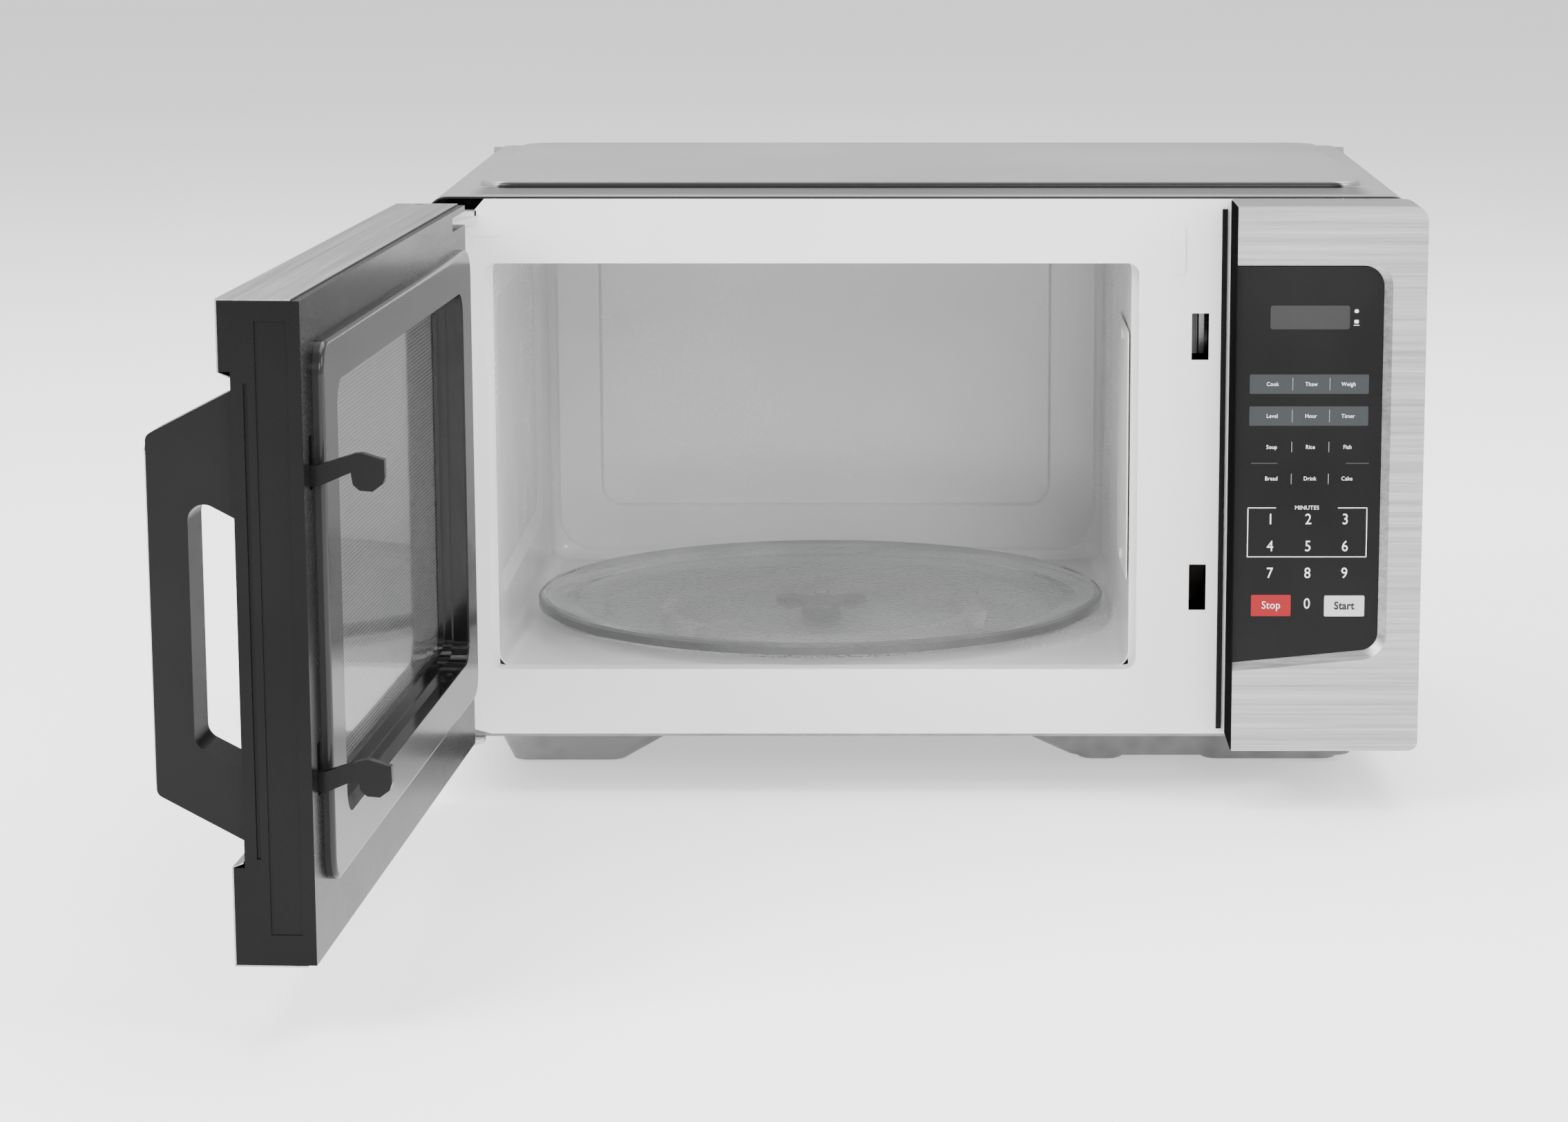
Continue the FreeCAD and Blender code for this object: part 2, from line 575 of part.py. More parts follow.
# ------------------------------------------------------------ control panel
# Steel fascia wrapped round a black moulding, with a dished opening for the
# flat key membrane, which has a slanted lower edge.


def soft_polygon(points, radii, y):
    """A wire through (x, z) corners, each rounded by its own radius."""
    edges = []
    ends = []
    count = len(points)
    for index, ((x, z), radius) in enumerate(zip(points, radii)):
        corner = Vector(x, y, z)
        before = Vector(points[index - 1][0], y, points[index - 1][1])
        after = Vector(points[(index + 1) % count][0], y, points[(index + 1) % count][1])
        back = (before - corner).normalize()
        ahead = (after - corner).normalize()
        if radius == 0:
            ends.append((corner, corner))
            continue
        half = back.getAngle(ahead) / 2
        reach = radius / math.tan(half)
        centre = corner + (back + ahead).normalize() * (radius / math.sin(half))
        middle = centre + (corner - centre).normalize() * radius
        start, stop = corner + back * reach, corner + ahead * reach
        edges.append((index, Part.Arc(start, middle, stop).toShape()))
        ends.append((start, stop))
    arcs = dict(edges)
    chain = []
    for index in range(count):
        if index in arcs:
            chain.append(arcs[index])
        chain.append(Part.makeLine(ends[index][1], ends[(index + 1) % count][0]))
    return Part.Wire(chain)


PANEL_RADII = (0, 5, 7.5, 0)


def panel_form(inset, left, y_low, y_high):
    """The control panel's rounded block, drawn in by a wall on its free sides."""
    low = size("base_height") + inset
    high = size("base_height") + size("front_height") - inset
    right = size("oven_width") / 2 - inset
    corners = [(left, low), (right, low), (right, high), (left, high)]
    radii = [max(radius - inset, 0) for radius in PANEL_RADII]
    face = Part.Face(soft_polygon(corners, radii, y_low))
    return face.extrude(Vector(0, y_high - y_low, 0))


def key_field(grow, left, y):
    """Outline of the key membrane, opened out by grow."""
    corners = [(left, 78.9 - grow), (238.6 + grow, 86.3 - grow), (238.6 + grow, 286.3 + grow),
               (left, 286.3 + grow)]
    return soft_polygon(corners, (0, 9 + grow, 10.5 + grow, 0), y)


def control_panel_fascia():
    """Skin, pierced and dished round the key membrane."""
    face = size("face_y")
    left = size("panel_left") + 0.6
    rear = size("frame_y") - 0.4
    skin = panel_form(0, left, face, rear).cut(panel_form(0.7, left - 1, face + 0.7, rear + 1))
    dish_outer = Part.makeLoft([key_field(4.6, left, face + 0.35), key_field(0.7, left, face + 2.9)], True, True)
    dish_inner = Part.makeLoft([key_field(5.2, left - 1, face - 0.5), key_field(0, left - 1, face + 3.0)], True, True)
    return skin.fuse(dish_outer).cut(dish_inner).removeSplitter()


keep_node(own_shape("control_panel_fascia", control_panel_fascia()))


def control_panel_housing():
    """Black moulding with a left wall and a shelf behind the membrane."""
    face = size("face_y")
    rear = size("frame_y") - 0.3
    left = size("panel_left")
    body = panel_form(0.7, left, face + 3.5, rear).cut(panel_form(2.4, left + 1.8, face + 5.3, rear + 1))
    body = body.fuse(Part.makeBox(0.6, rear - face - 0.2, size("front_height") - 1.4,
                                  Vector(left, face + 0.2, size("base_height") + 0.7)))
    window = Part.makeBox(42, 8, 14, Vector(180, face, 253))
    return body.cut(window).removeSplitter()


keep_node(own_shape("control_panel_housing", control_panel_housing()))
membrane = Part.Face(key_field(-0.1, size("panel_left") + 0.6, size("face_y") + 2.6)).extrude(Vector(0, 0.9, 0))
keep_node(own_shape("keypad_membrane", membrane))
keep_node(rounded("display_window", box("display_stock", 180.4, 221.3, "face_y + 2.3", "face_y + 2.6", 253.7, 266),
                  AXIS_Y, 1.4))
keep_node(fuse("control_board", box("control_card", 172, 244, -194, -192.4, 70, 294),
               box("display_module", 178, 224, "face_y + 5.4", -194, 251, 269),
               box("relay_one", 180, 198, -192.4, -176, 90, 110), box("relay_two", 204, 222, -192.4, -176, 90, 110),
               box("board_transformer", 180, 214, -192.4, -170, 120, 150),
               rod("buzzer", "y", 226, -192.4, 180, 8, 8)))
keep_node(box("side_strip", 157.9, 160.7, "frame_y - 1.2", "frame_y", "base_height + 3", 312))

# ------------------------------------------------------------------- hinges


def hinge_plate(z_low, z_high):
    """A stamped arm from behind the frame out to the pin, with a bored eye."""
    pin = Vector(size("hinge_x"), size("hinge_y"), z_low)
    arm = outline([Vector(-260.2, -196, z_low), Vector(-254.4, -198, z_low), Vector(-237, -176, z_low),
                   Vector(-232, -170, z_low), Vector(-232, -158, z_low), Vector(-250, -158, z_low),
                   Vector(-250, -176, z_low)])
    plate = arm.extrude(Vector(0, 0, z_high - z_low))
    plate = plate.fuse(Part.makeCylinder(3.5, z_high - z_low, pin))
    return plate.cut(Part.makeCylinder(2.26, z_high - z_low + 2, pin - Vector(0, 0, 1)))


upper_plate = hinge_plate(308.6, 310.9)
upper_tab = Part.makeBox(18, 1.6, 26, Vector(-250, size("frame_y") + 1, 284.9))
keep_node(own_shape("hinge_plate_upper", upper_plate.fuse(upper_tab)))
keep_node(own_shape("hinge_plate_lower", hinge_plate(27.4, 29.9)))

# ------------------------------------------------------------------- door
# Every piece is drawn on the shut door. Each is then swung about the pins.
OPEN_DOOR = Placement(Vector(), Rotation(AXIS_Z, -size("door_swing")), Vector(size("hinge_x"), size("hinge_y"), 0))


def on_open_door(feature):
    """Swing a finished door piece to the stored opening angle."""
    doc.recompute()
    feature.Placement = OPEN_DOOR.multiply(feature.Placement)
    return keep_node(feature)


DOOR_LEFT = "-oven_width / 2"
door_body = fuse("door_block",
                 box("door_core", DOOR_LEFT, "door_right", "glass_y + 4.2", "border_y", "base_height + 0.8", 316.4),
                 box("door_head", DOOR_LEFT, "door_right", "face_y + 0.7", "glass_y + 4.2", 286.8, 316.4),
                 box("door_sill", DOOR_LEFT, "door_right", "face_y + 0.7", "glass_y + 4.2", "base_height + 0.8", 75.2),
                 box("door_free_wall", "door_right - 1.9", "door_right", "glass_y", "glass_y + 4.2", 75.2, 286.8),
                 box("door_hinge_wall", DOOR_LEFT, "-oven_width / 2 + 1.9", "glass_y", "glass_y + 4.2", 75.2, 286.8))
door_spaces = [
    box("window_space", -222, 112, -184.7, "border_y + 1", 84, 278),
    box("window_throat", -214, 104, -210, -184, 92, 270),
    box("free_pocket", 118, 158.5, -197, "border_y - 2.5", 50, 300),
    box("hinge_pocket", -250, -228, -197, "border_y - 2.5", 50, 300),
    box("head_pocket", -226, 116, -197, "border_y - 2.5", 284, 312),
    box("sill_pocket", -226, 116, -197, "border_y - 2.5", 38, 78),
    box("hinge_slot", "-oven_width / 2 - 2", -222, -204, "border_y + 2", 306.4, 313.3),
    rod("pin_seat", "z", "hinge_x", "hinge_y", 31, 2.2, 284),
    box("free_groove", "door_right - 1", "door_right + 1", -197.2, -195.4, 79, 282),
    box("free_relief", "door_right - 0.6", "door_right + 1", -192, -178.5, 46, 308)]
for step in (0, 1):
    slot_low = f"hook_low - 1.4 + {step} * hook_pitch"
    door_spaces.append(box("hook_slot", "hook_left - 0.9", "hook_left + hook_gauge + 0.9", "border_y - 4",
                           "border_y + 1", slot_low, f"{slot_low} + 23"))
HANDLE_SCREWS = (104, 246)
HANDLE_MIDDLE = "handle_left + handle_width / 2"
for z in HANDLE_SCREWS:
    door_spaces.append(rod("screw_way", "y", HANDLE_MIDDLE, -204, z, 2.2, 10))
on_open_door(cut("door_frame", door_body, *door_spaces))


def trim(label, z_edge, z_lip, inward):
    """A folded steel band over the head or sill of the door."""
    face = size("face_y")
    gauge = 0.65
    left, right = -size("oven_width") / 2, size("door_right")
    deep = -176.5
    low, high = sorted((z_edge, z_lip))
    front = Part.makeBox(right - left, gauge, high - low, Vector(left, face, low))
    cap = Part.makeBox(right - left, deep - face, gauge, Vector(left, face, z_edge - (gauge if inward < 0 else 0)))
    lip = outline([Vector(left, face, z_lip), Vector(left, face + gauge, z_lip),
                   Vector(left, -203, z_lip + inward * 1.7), Vector(left, -203, z_lip + inward * 1.7 + inward * gauge)])
    band = front.fuse([cap, lip.extrude(Vector(right - left, 0, 0))])
    pin_way = Part.makeCylinder(2.3, 6, Vector(size("hinge_x"), size("hinge_y"), z_edge - 3))
    return own_shape(label, band.cut(pin_way))


on_open_door(trim("door_trim_top", size("base_height") + size("front_height"), 286.6, -1))
on_open_door(trim("door_trim_bottom", size("base_height"), 75.4, 1))

glass_sheet = box("glass_sheet", "-oven_width / 2 + 2.1", "door_right - 2.1", "glass_y", "glass_y + 4", 77, 284.8)
on_open_door(cut("door_glass", glass_sheet,
                 *[rod("glass_hole", "y", HANDLE_MIDDLE, "glass_y - 1", z, 2.4, 6) for z in HANDLE_SCREWS]))


def seal_ring():
    """The metal face that meets the frame, with a turned-down rounded edge."""
    face, foot = size("seal_y"), size("border_y")
    outer = plate_shape(-248, 139, 62, 296, 13, foot, face)
    crown = [edge for edge in outer.Edges if abs(edge.CenterOfMass.y - face) < 0.01]
    outer = outer.makeFillet(2.2, crown)
    inside = plate_shape(-246.8, 137.8, 63.2, 294.8, 12, foot - 1, face - 1)
    return outer.cut(inside).cut(plate_shape(-220.4, 110.4, 85.6, 276.4, 12, foot - 1, face + 1))


on_open_door(own_shape("door_seal_ring", seal_ring()))


def window_frame():
    """Black stepped funnel from the seal ring down to the window screen."""
    top, foot = size("seal_y") - 1, size("screen_y") + 0.7
    tube = plate_shape(-221.9, 111.9, 84.1, 277.9, 11, foot, top)
    tube = tube.cut(plate_shape(-220.4, 110.4, 85.6, 276.4, 10, foot - 1, top + 1))
    steps = plate_shape(-221, 111, 85, 277, 10, foot, foot + 6)
    steps = steps.cut(plate_shape(-217.4, 107.4, 88.6, 273.4, 8, foot - 1, foot + 7))
    bead = plate_shape(-221, 111, 85, 277, 10, foot, foot + 2.2)
    bead = bead.cut(plate_shape(-213.6, 103.6, 92.4, 269.6, 6, foot - 1, foot + 3))
    return tube.fuse([steps, bead])


on_open_door(own_shape("door_window_frame", window_frame()))
on_open_door(own_shape("door_screen", plate_shape(-221.6, 111.6, 84.4, 277.6, 9, size("screen_y") - 0.6,
                                                  size("screen_y"))))
on_open_door(own_shape("door_inner_film", plate_shape(-221.6, 111.6, 84.4, 277.6, 9, size("screen_y"),
                                                      size("screen_y") + 0.6)))

# Handle: a bar on two slanted legs, screwed on from inside the door.


def loop_handle():
    """Extrude the side view and soften its long edges."""
    left, wide = size("handle_left"), size("handle_width")
    root = size("glass_y")
    side = outline([Vector(left, root, 278.7), Vector(left, -241.4, 258.6), Vector(left, -241.4, 104.4),
                    Vector(left, root, 83.7)])
    bar = side.extrude(Vector(wide, 0, 0))
    long_edges = [edge for edge in bar.Edges if edge.CenterOfMass.x not in (left, left + wide)
                  and edge.CenterOfMass.y < root - 5]
    bar = bar.makeFillet(4, long_edges)
    grip = outline([Vector(left - 1, root + 1, 222), Vector(left - 1, -224.4, 234), Vector(left - 1, -224.4, 126),
                    Vector(left - 1, root + 1, 114)]).extrude(Vector(wide + 2, 0, 0))
    inner_edges = [edge for edge in grip.Edges if left < edge.CenterOfMass.x < left + wide
                   and edge.CenterOfMass.y < root - 10]
    grip = grip.makeFillet(7, inner_edges)
    handle = bar.cut(grip)
    for z in HANDLE_SCREWS:
        handle = handle.cut(Part.makeCylinder(1.9, 17, Vector(left + wide / 2, root - 16, z), AXIS_Y))
    return handle


on_open_door(own_shape("door_handle", loop_handle()))
on_open_door(rounded("handle_skin", box("skin_stock", "handle_left + 1", "handle_left + handle_width - 1", -242.1,
                                        -241.4, 108, 255), AXIS_Y, 3))
screws = []
for z in HANDLE_SCREWS:
    screws.append(rod("handle_screw", "y", HANDLE_MIDDLE, -217, z, 1.85, 20.1))
    screws.append(rod("screw_head", "y", HANDLE_MIDDLE, -196.9, z, 3.8, 2.4))
on_open_door(fuse("handle_screws", *screws))

# Latch: one moulding with two drooping hooks. It slides up against its spring
# as the hooks ride over the catches.


def latch_hooks():
    """Side view of a hook, repeated, on an upright bar inside the door."""
    left, gauge = size("hook_left"), size("hook_gauge")
    low, pitch = size("hook_low"), size("hook_pitch")
    shape = Part.makeBox(gauge, 10, pitch + 26, Vector(left, -187, low - 6))
    for step in range(2):
        base = low + step * pitch
        points = [(-178, base), (-170, base), (-155.6, base + 6.2), (-154.8, base + 1), (-152, base - 1.4),
                  (-146.5, base - 1.8), (-142.2, base + 1.4), (-141.2, base + 4.5), (-141.4, base + 11.6),
                  (-150.5, base + 14.4), (-154, base + 14.2), (-170, base + 9), (-178, base + 9)]
        side = outline([Vector(left, y, z) for y, z in points])
        shape = shape.fuse(side.extrude(Vector(gauge, 0, 0)))
    return shape.removeSplitter()


on_open_door(own_shape("latch_hooks", latch_hooks()))


def latch_spring():
    """A close coil between the hook bar and the top of its pocket."""
    start = size("hook_low") + size("hook_pitch") + 20.3
    helix = Part.makeHelix(3.4, 299.4 - start - 0.3, 3.0)
    ring = Part.Wire(Part.makeCircle(0.45, Vector(3.0, 0, 0), AXIS_Y))
    coil = Part.Wire(helix).makePipeShell([ring], True, True)
    coil.translate(Vector(size("hook_left") + size("hook_gauge") / 2, -182, start + 0.5))
    return coil


on_open_door(own_shape("latch_spring", latch_spring()))
on_open_door(fuse("door_hinge_pins", rod("pin_upper", "z", "hinge_x", "hinge_y", 301, 2.2, 14),
                  rod("pin_lower", "z", "hinge_x", "hinge_y", 27.4, 2.2, 13)))

# --------------------------------------------------------------- fasteners
case_screws = [rod("case_screw", "y", x, "back_y + 1.2", z, 4, 1.8) for x, z in
               ((-244, 300), (244, 300), (-244, 50), (120, 50), (244, 150))]
keep_node(fuse("case_screws", *case_screws))

# ------------------------------------------------------------------ output
doc.recompute()
for item in doc.Objects:
    if "Invalid" in item.State or "Error" in item.State:
        raise RuntimeError(f"{item.Label} did not recompute: {item.State}")
for label, feature in nodes.items():
    shape = feature.Shape
    if shape.isNull() or not shape.isValid() or not shape.Solids:
        raise RuntimeError(f"{label} has no valid solid")
    print(f"{label:24s} {len(shape.Solids):3d} solids {shape.Volume / 1000:9.2f} cm3")
    shape = shape.copy()
    shape.translate(Vector(size("row_x"), size("row_y"), 0))
    shape.exportStep(os.path.join("parts", f"{label}.step"))
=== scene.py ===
import json
import math

import bpy
from mathutils import Matrix, Vector


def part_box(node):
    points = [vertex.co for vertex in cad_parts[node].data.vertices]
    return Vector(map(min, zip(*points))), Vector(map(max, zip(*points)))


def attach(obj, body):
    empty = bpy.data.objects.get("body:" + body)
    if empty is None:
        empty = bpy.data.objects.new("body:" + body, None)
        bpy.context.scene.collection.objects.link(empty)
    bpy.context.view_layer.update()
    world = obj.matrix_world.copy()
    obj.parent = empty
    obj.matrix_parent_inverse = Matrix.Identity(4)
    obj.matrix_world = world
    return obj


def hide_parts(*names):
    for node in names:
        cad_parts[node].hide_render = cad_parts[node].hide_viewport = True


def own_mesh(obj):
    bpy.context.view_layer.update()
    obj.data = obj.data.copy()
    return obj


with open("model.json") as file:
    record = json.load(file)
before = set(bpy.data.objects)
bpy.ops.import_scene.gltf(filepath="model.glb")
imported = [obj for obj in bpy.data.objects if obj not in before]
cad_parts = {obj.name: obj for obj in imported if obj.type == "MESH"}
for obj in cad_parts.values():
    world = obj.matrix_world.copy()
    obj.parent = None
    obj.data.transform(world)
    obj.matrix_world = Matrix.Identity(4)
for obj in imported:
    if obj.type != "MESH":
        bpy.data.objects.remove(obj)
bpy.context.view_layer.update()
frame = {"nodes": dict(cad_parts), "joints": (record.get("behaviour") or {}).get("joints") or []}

# ---------------------------------------------------------------- wrapped case
# One painted steel sheet is folded over the top and both sides. Its baked silver
# enamel is satin, with a very fine grain and faint drifts of tone where it was sprayed.


class Level:
    """A number or colour on its way through a finish."""

    def __init__(self, finish, socket):
        self.finish = finish
        self.socket = socket

    def _with(self, operation, first, second):
        return self.finish.add("ShaderNodeMath", {"operation": operation}, {0: first, 1: second})

    def __add__(self, other):
        return self._with("ADD", self, other)

    __radd__ = __add__

    def __sub__(self, other):
        return self._with("SUBTRACT", self, other)

    def __rsub__(self, other):
        return self._with("SUBTRACT", other, self)

    def __mul__(self, other):
        return self._with("MULTIPLY", self, other)

    __rmul__ = __mul__


class Finish:
    """One material, put together from nodes as it is described."""

    def __init__(self, name, fixed):
        self.material = bpy.data.materials.new(name)
        self.material.use_nodes = True
        self.nodes = self.material.node_tree.nodes
        self.links = self.material.node_tree.links
        self.surface = self.nodes["Principled BSDF"]
        for socket, value in fixed.items():
            self.surface.inputs[socket].default_value = value

    def add(self, kind, settings, values, output=0):
        """Add a node, set it up, fill its sockets and return one of its outputs."""
        node = self.nodes.new(kind)
        for name, value in settings.items():
            if name == "stops":
                for spot, (place, tone) in zip((0, -1), value):
                    node.color_ramp.elements[spot].position = place
                    node.color_ramp.elements[spot].color = tone
            else:
                setattr(node, name, value)
        for name, value in values.items():
            if isinstance(value, Level):
                self.links.new(value.socket, node.inputs[name])
            else:
                node.inputs[name].default_value = value
        return Level(self, node.outputs[output])

    def spot(self, stretch=(1, 1, 1), turn=0.0):
        """Where a point lies on the object, turned about the upright and stretched."""
        place = self.add("ShaderNodeTexCoord", {}, {}, "Object")
        turned = self.add("ShaderNodeMapping", {}, {"Vector": place, "Rotation": (0, 0, turn)})
        return self.add("ShaderNodeMapping", {}, {"Vector": turned, "Scale": stretch})

    def noise(self, scale, detail=3.0, rough=0.5, where=None):
        """Soft random tone from 0 to 1."""
        values = {"Vector": where or self.spot(), "Scale": scale, "Detail": detail, "Roughness": rough}
        return self.add("ShaderNodeTexNoise", {}, values, "Fac")

    def tones(self, amount, dark, light, low=0.3, high=0.7):
        """A colour between dark and light as amount goes from low to high."""
        stops = ((low, (*dark, 1)), (high, (*light, 1)))
        return self.add("ShaderNodeValToRGB", {"stops": stops}, {0: amount}, "Color")

    def relief(self, height, strength, depth):
        """A bump normal from a height."""
        values = {"Height": height, "Strength": strength, "Distance": depth}
        return self.add("ShaderNodeBump", {}, values)

    def onto(self, levels):
        """Feed worked-out levels into the surface's sockets."""
        for socket, level in levels.items():
            self.links.new(level.socket, self.surface.inputs[socket])
        return self.material


def dress(material, *nodes):
    """Give CAD nodes their finish."""
    for node in nodes:
        slots = frame["nodes"][node].data.materials
        slots.clear()
        slots.append(material)


def enamel(name, dark, light, rough, grain, metallic=0.0, coat=0.0):
    """Sprayed and baked paint: fine orange peel, drifts of tone and of gloss."""
    paint = Finish(name, {"Metallic": metallic, "Coat Weight": coat, "Coat Roughness": 0.08})
    drift = paint.noise(5.0, 4.0, 0.6)
    peel = paint.noise(grain, 2.0, 0.5)
    return paint.onto({"Base Color": paint.tones(drift, dark, light),
                       "Roughness": rough + 0.10 * (drift - 0.5) + 0.06 * (peel - 0.5),
                       "Normal": paint.relief(peel, 0.10, 0.0002)})


# The first few millimetres of the case at its front edge are painted near black: painted shade in the gap
# between the case and the frame.
GAP_SHADE_START = 0.0022
GAP_SHADE_END = 0.0034
STEP_BACK = 0.0538
case_low, case_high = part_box("outer_cabinet")
case_paint = Finish("case_enamel", {"Metallic": 0.55})
spray = case_paint.noise(5.0, 4.0, 0.6)
orange_peel = case_paint.noise(900.0, 2.0)
backward = case_paint.add("ShaderNodeSeparateXYZ", {}, {0: case_paint.spot()}, "Y")
gap_shade_mask = case_paint.add("ShaderNodeMapRange", {}, {"Value": backward, "From Min": case_low.y + GAP_SHADE_START,
                                                "From Max": case_low.y + GAP_SHADE_END})
case_tone = case_paint.tones(spray, (0.30, 0.30, 0.303), (0.36, 0.36, 0.363))
# Case paint with the painted gap shade mixed in along the front edge.
gap_shaded_tone = case_paint.add("ShaderNodeMix", {"data_type": "RGBA"},
                        {0: gap_shade_mask, 6: (0.02, 0.02, 0.02, 1), 7: case_tone}, 2)
crossward = case_paint.add("ShaderNodeSeparateXYZ", {}, {0: case_paint.spot()}, "X")
upward = case_paint.add("ShaderNodeSeparateXYZ", {}, {0: case_paint.spot()}, "Z")


def fade(level, start, end):
    """Go smoothly from 0 at start to 1 at end."""
    spread = {"Value": level, "From Min": start, "From Max": end}
    return case_paint.add("ShaderNodeMapRange", {"interpolation_type": "SMOOTHSTEP"}, spread)


step_line = case_low.y + STEP_BACK
along_step = (fade(crossward, case_low.x + 0.018, case_low.x + 0.030)
              * fade(crossward, case_high.x - 0.016, case_high.x - 0.028) * fade(upward, 0.315, 0.317))
# A painted shadow in the groove at the foot of the raised field's step.
painted_step_shadow = (fade(backward, step_line - 0.006, step_line - 0.001)
          * fade(backward, step_line + 0.0022, step_line + 0.001))
# Painted shade on the strip in front of the field, standing in for a dark reflection of the room.
painted_dark_reflection = (0.68 * fade(backward, case_low.y + 0.004, case_low.y + 0.02)
         * fade(backward, step_line + 0.002, step_line))
# Painted shadow and painted reflection together, only on the top and between the field's ends.
painted_front_shade = along_step * (0.97 * painted_step_shadow + painted_dark_reflection * (1 - painted_step_shadow))
# The case paint darkened almost to black where this painted shade is strongest.
shaded = case_paint.add("ShaderNodeMix", {"data_type": "RGBA"},
                        {0: painted_front_shade, 6: gap_shaded_tone, 7: (0.006, 0.006, 0.006, 1)}, 2)
case_enamel = case_paint.onto({"Base Color": shaded,
                               "Roughness": 0.36 + 0.10 * (spray - 0.5) + 0.06 * (orange_peel - 0.5),
                               "Normal": case_paint.relief(orange_peel, 0.10, 0.0002)})
dress(case_enamel, "outer_cabinet")

# ------------------------------------------------------ zinc-coated sheet parts
# Base pan, back and the hidden ducts are pressed from zinc-coated sheet, which
# shows soft cloudy spangle and dull drawing marks.


def zinc_sheet(name, dark, light):
    """Dull zinc with cloudy spangle."""
    zinc = Finish(name, {"Metallic": 0.85})
    spangle = zinc.add("ShaderNodeTexVoronoi", {"feature": "F1"},
                       {"Vector": zinc.spot(), "Scale": 90.0}, "Distance")
    cloud = zinc.noise(14.0, 5.0, 0.6)
    mixed = 0.45 * spangle + 0.75 * cloud
    return zinc.onto({"Base Color": zinc.tones(mixed, dark, light, 0.25, 0.75),
                      "Roughness": 0.36 + 0.22 * mixed,
                      "Normal": zinc.relief(cloud, 0.12, 0.0006)})


dull_zinc = zinc_sheet("dull_zinc", (0.17, 0.17, 0.175), (0.28, 0.28, 0.285))
bright_zinc = zinc_sheet("bright_zinc", (0.50, 0.50, 0.51), (0.68, 0.68, 0.69))
dress(dull_zinc, "base_pan", "rear_panel", "waveguide", "turntable_motor")
dress(bright_zinc, "hinge_plate_upper", "hinge_plate_lower")

# ------------------------------------------------- white frame and cooking space
# The front frame and the cavity are steel in smooth white enamel. The frame is a
# shade brighter and glossier than the walls, which carry a faint roller texture.
frame_enamel = enamel("frame_enamel", (0.80, 0.80, 0.80), (0.86, 0.86, 0.86), 0.30, 420.0, 0.0, 0.25)
cavity_enamel = enamel("cavity_enamel", (0.69, 0.69, 0.69), (0.77, 0.77, 0.77), 0.26, 620.0, 0.0, 0.35)
dress(frame_enamel, "front_frame")
dress(cavity_enamel, "cavity_liner")

# ----------------------------------------------------------------- mica cover
# A sheet of pressed mica hides the wave guide's mouth.
# It is pale and waxy, with fine flecks.
mica = Finish("pressed_mica", {"Coat Weight": 0.3})
flake = mica.noise(160.0, 6.0, 0.7)
dress(mica.onto({"Base Color": mica.tones(flake, (0.60, 0.59, 0.56), (0.74, 0.73, 0.70)),
                 "Roughness": 0.30 + 0.25 * flake,
                 "Normal": mica.relief(flake, 0.15, 0.0003)}), "waveguide_cover")

# ------------------------------------------------------------------ turntable
# Thick pressed glass turned on its rim, clear on top and pebbled underneath,
# on a white ring of three nylon wheels and a lobed dark nylon drive.
plate_glass = Finish("plate_glass", {"Transmission Weight": 0.9, "IOR": 1.16, "Specular IOR Level": 0.8})
pebble = plate_glass.add("ShaderNodeTexVoronoi", {"feature": "SMOOTH_F1"},
                         {"Vector": plate_glass.spot(), "Scale": 420.0, "Smoothness": 0.6}, "Distance")
wave = plate_glass.noise(30.0, 2.0)
dress(plate_glass.onto({"Base Color": plate_glass.tones(wave, (0.76, 0.765, 0.765), (0.83, 0.835, 0.835)),
                        "Roughness": 0.02 + 0.06 * pebble,
                        "Normal": plate_glass.relief(pebble, 0.12, 0.0006)}), "glass_turntable")


def moulding(name, dark, light, rough, grain=700.0, strength=0.12, sheen=0.32):
    """Moulded plastic with an eroded tool texture and slight flow marks."""
    plastic = Finish(name, {"Specular IOR Level": sheen})
    tool = plastic.noise(grain, 3.0, 0.6)
    flow = plastic.noise(9.0, 3.0, 0.5)
    return plastic.onto({"Base Color": plastic.tones(flow, dark, light),
                         "Roughness": rough + 0.12 * (flow - 0.5) + 0.10 * (tool - 0.5),
                         "Normal": plastic.relief(tool, strength, 0.0002)})


nylon = moulding("white_nylon", (0.66, 0.66, 0.63), (0.76, 0.76, 0.73), 0.42)
drive_nylon = moulding("drive_nylon", (0.05, 0.05, 0.05), (0.08, 0.08, 0.08), 0.42)
dress(drive_nylon, "turntable_coupler", "motor_shaft")
dress(nylon, "roller_ring", "roller_1", "roller_2", "roller_3", "lamp_holder")

# ------------------------------------------------------------------- the works
# Behind the control panel: finned aluminium magnetron, varnished iron, a rolled
# capacitor can, green boards, grey fan mouldings and a small glass lamp.
aluminium = Finish("drawn_aluminium", {"Metallic": 1.0})
draw_marks = aluminium.noise(60.0, 4.0, 0.6, aluminium.spot((1, 1, 18)))
dress(aluminium.onto({"Base Color": aluminium.tones(draw_marks, (0.62, 0.62, 0.63), (0.78, 0.78, 0.79)),
                      "Roughness": 0.26 + 0.2 * draw_marks}), "magnetron", "hv_capacitor")
varnished_iron = Finish("varnished_iron", {"Metallic": 0.5})
layers = varnished_iron.noise(40.0, 4.0, 0.6, varnished_iron.spot((1, 30, 1)))
iron_brown = varnished_iron.tones(layers, (0.05, 0.045, 0.04), (0.16, 0.12, 0.09))
dress(varnished_iron.onto({"Base Color": iron_brown,
                           "Roughness": 0.34 + 0.25 * layers}), "hv_transformer", "fan_motor")
circuit_card = Finish("circuit_card", {"Coat Weight": 0.3})
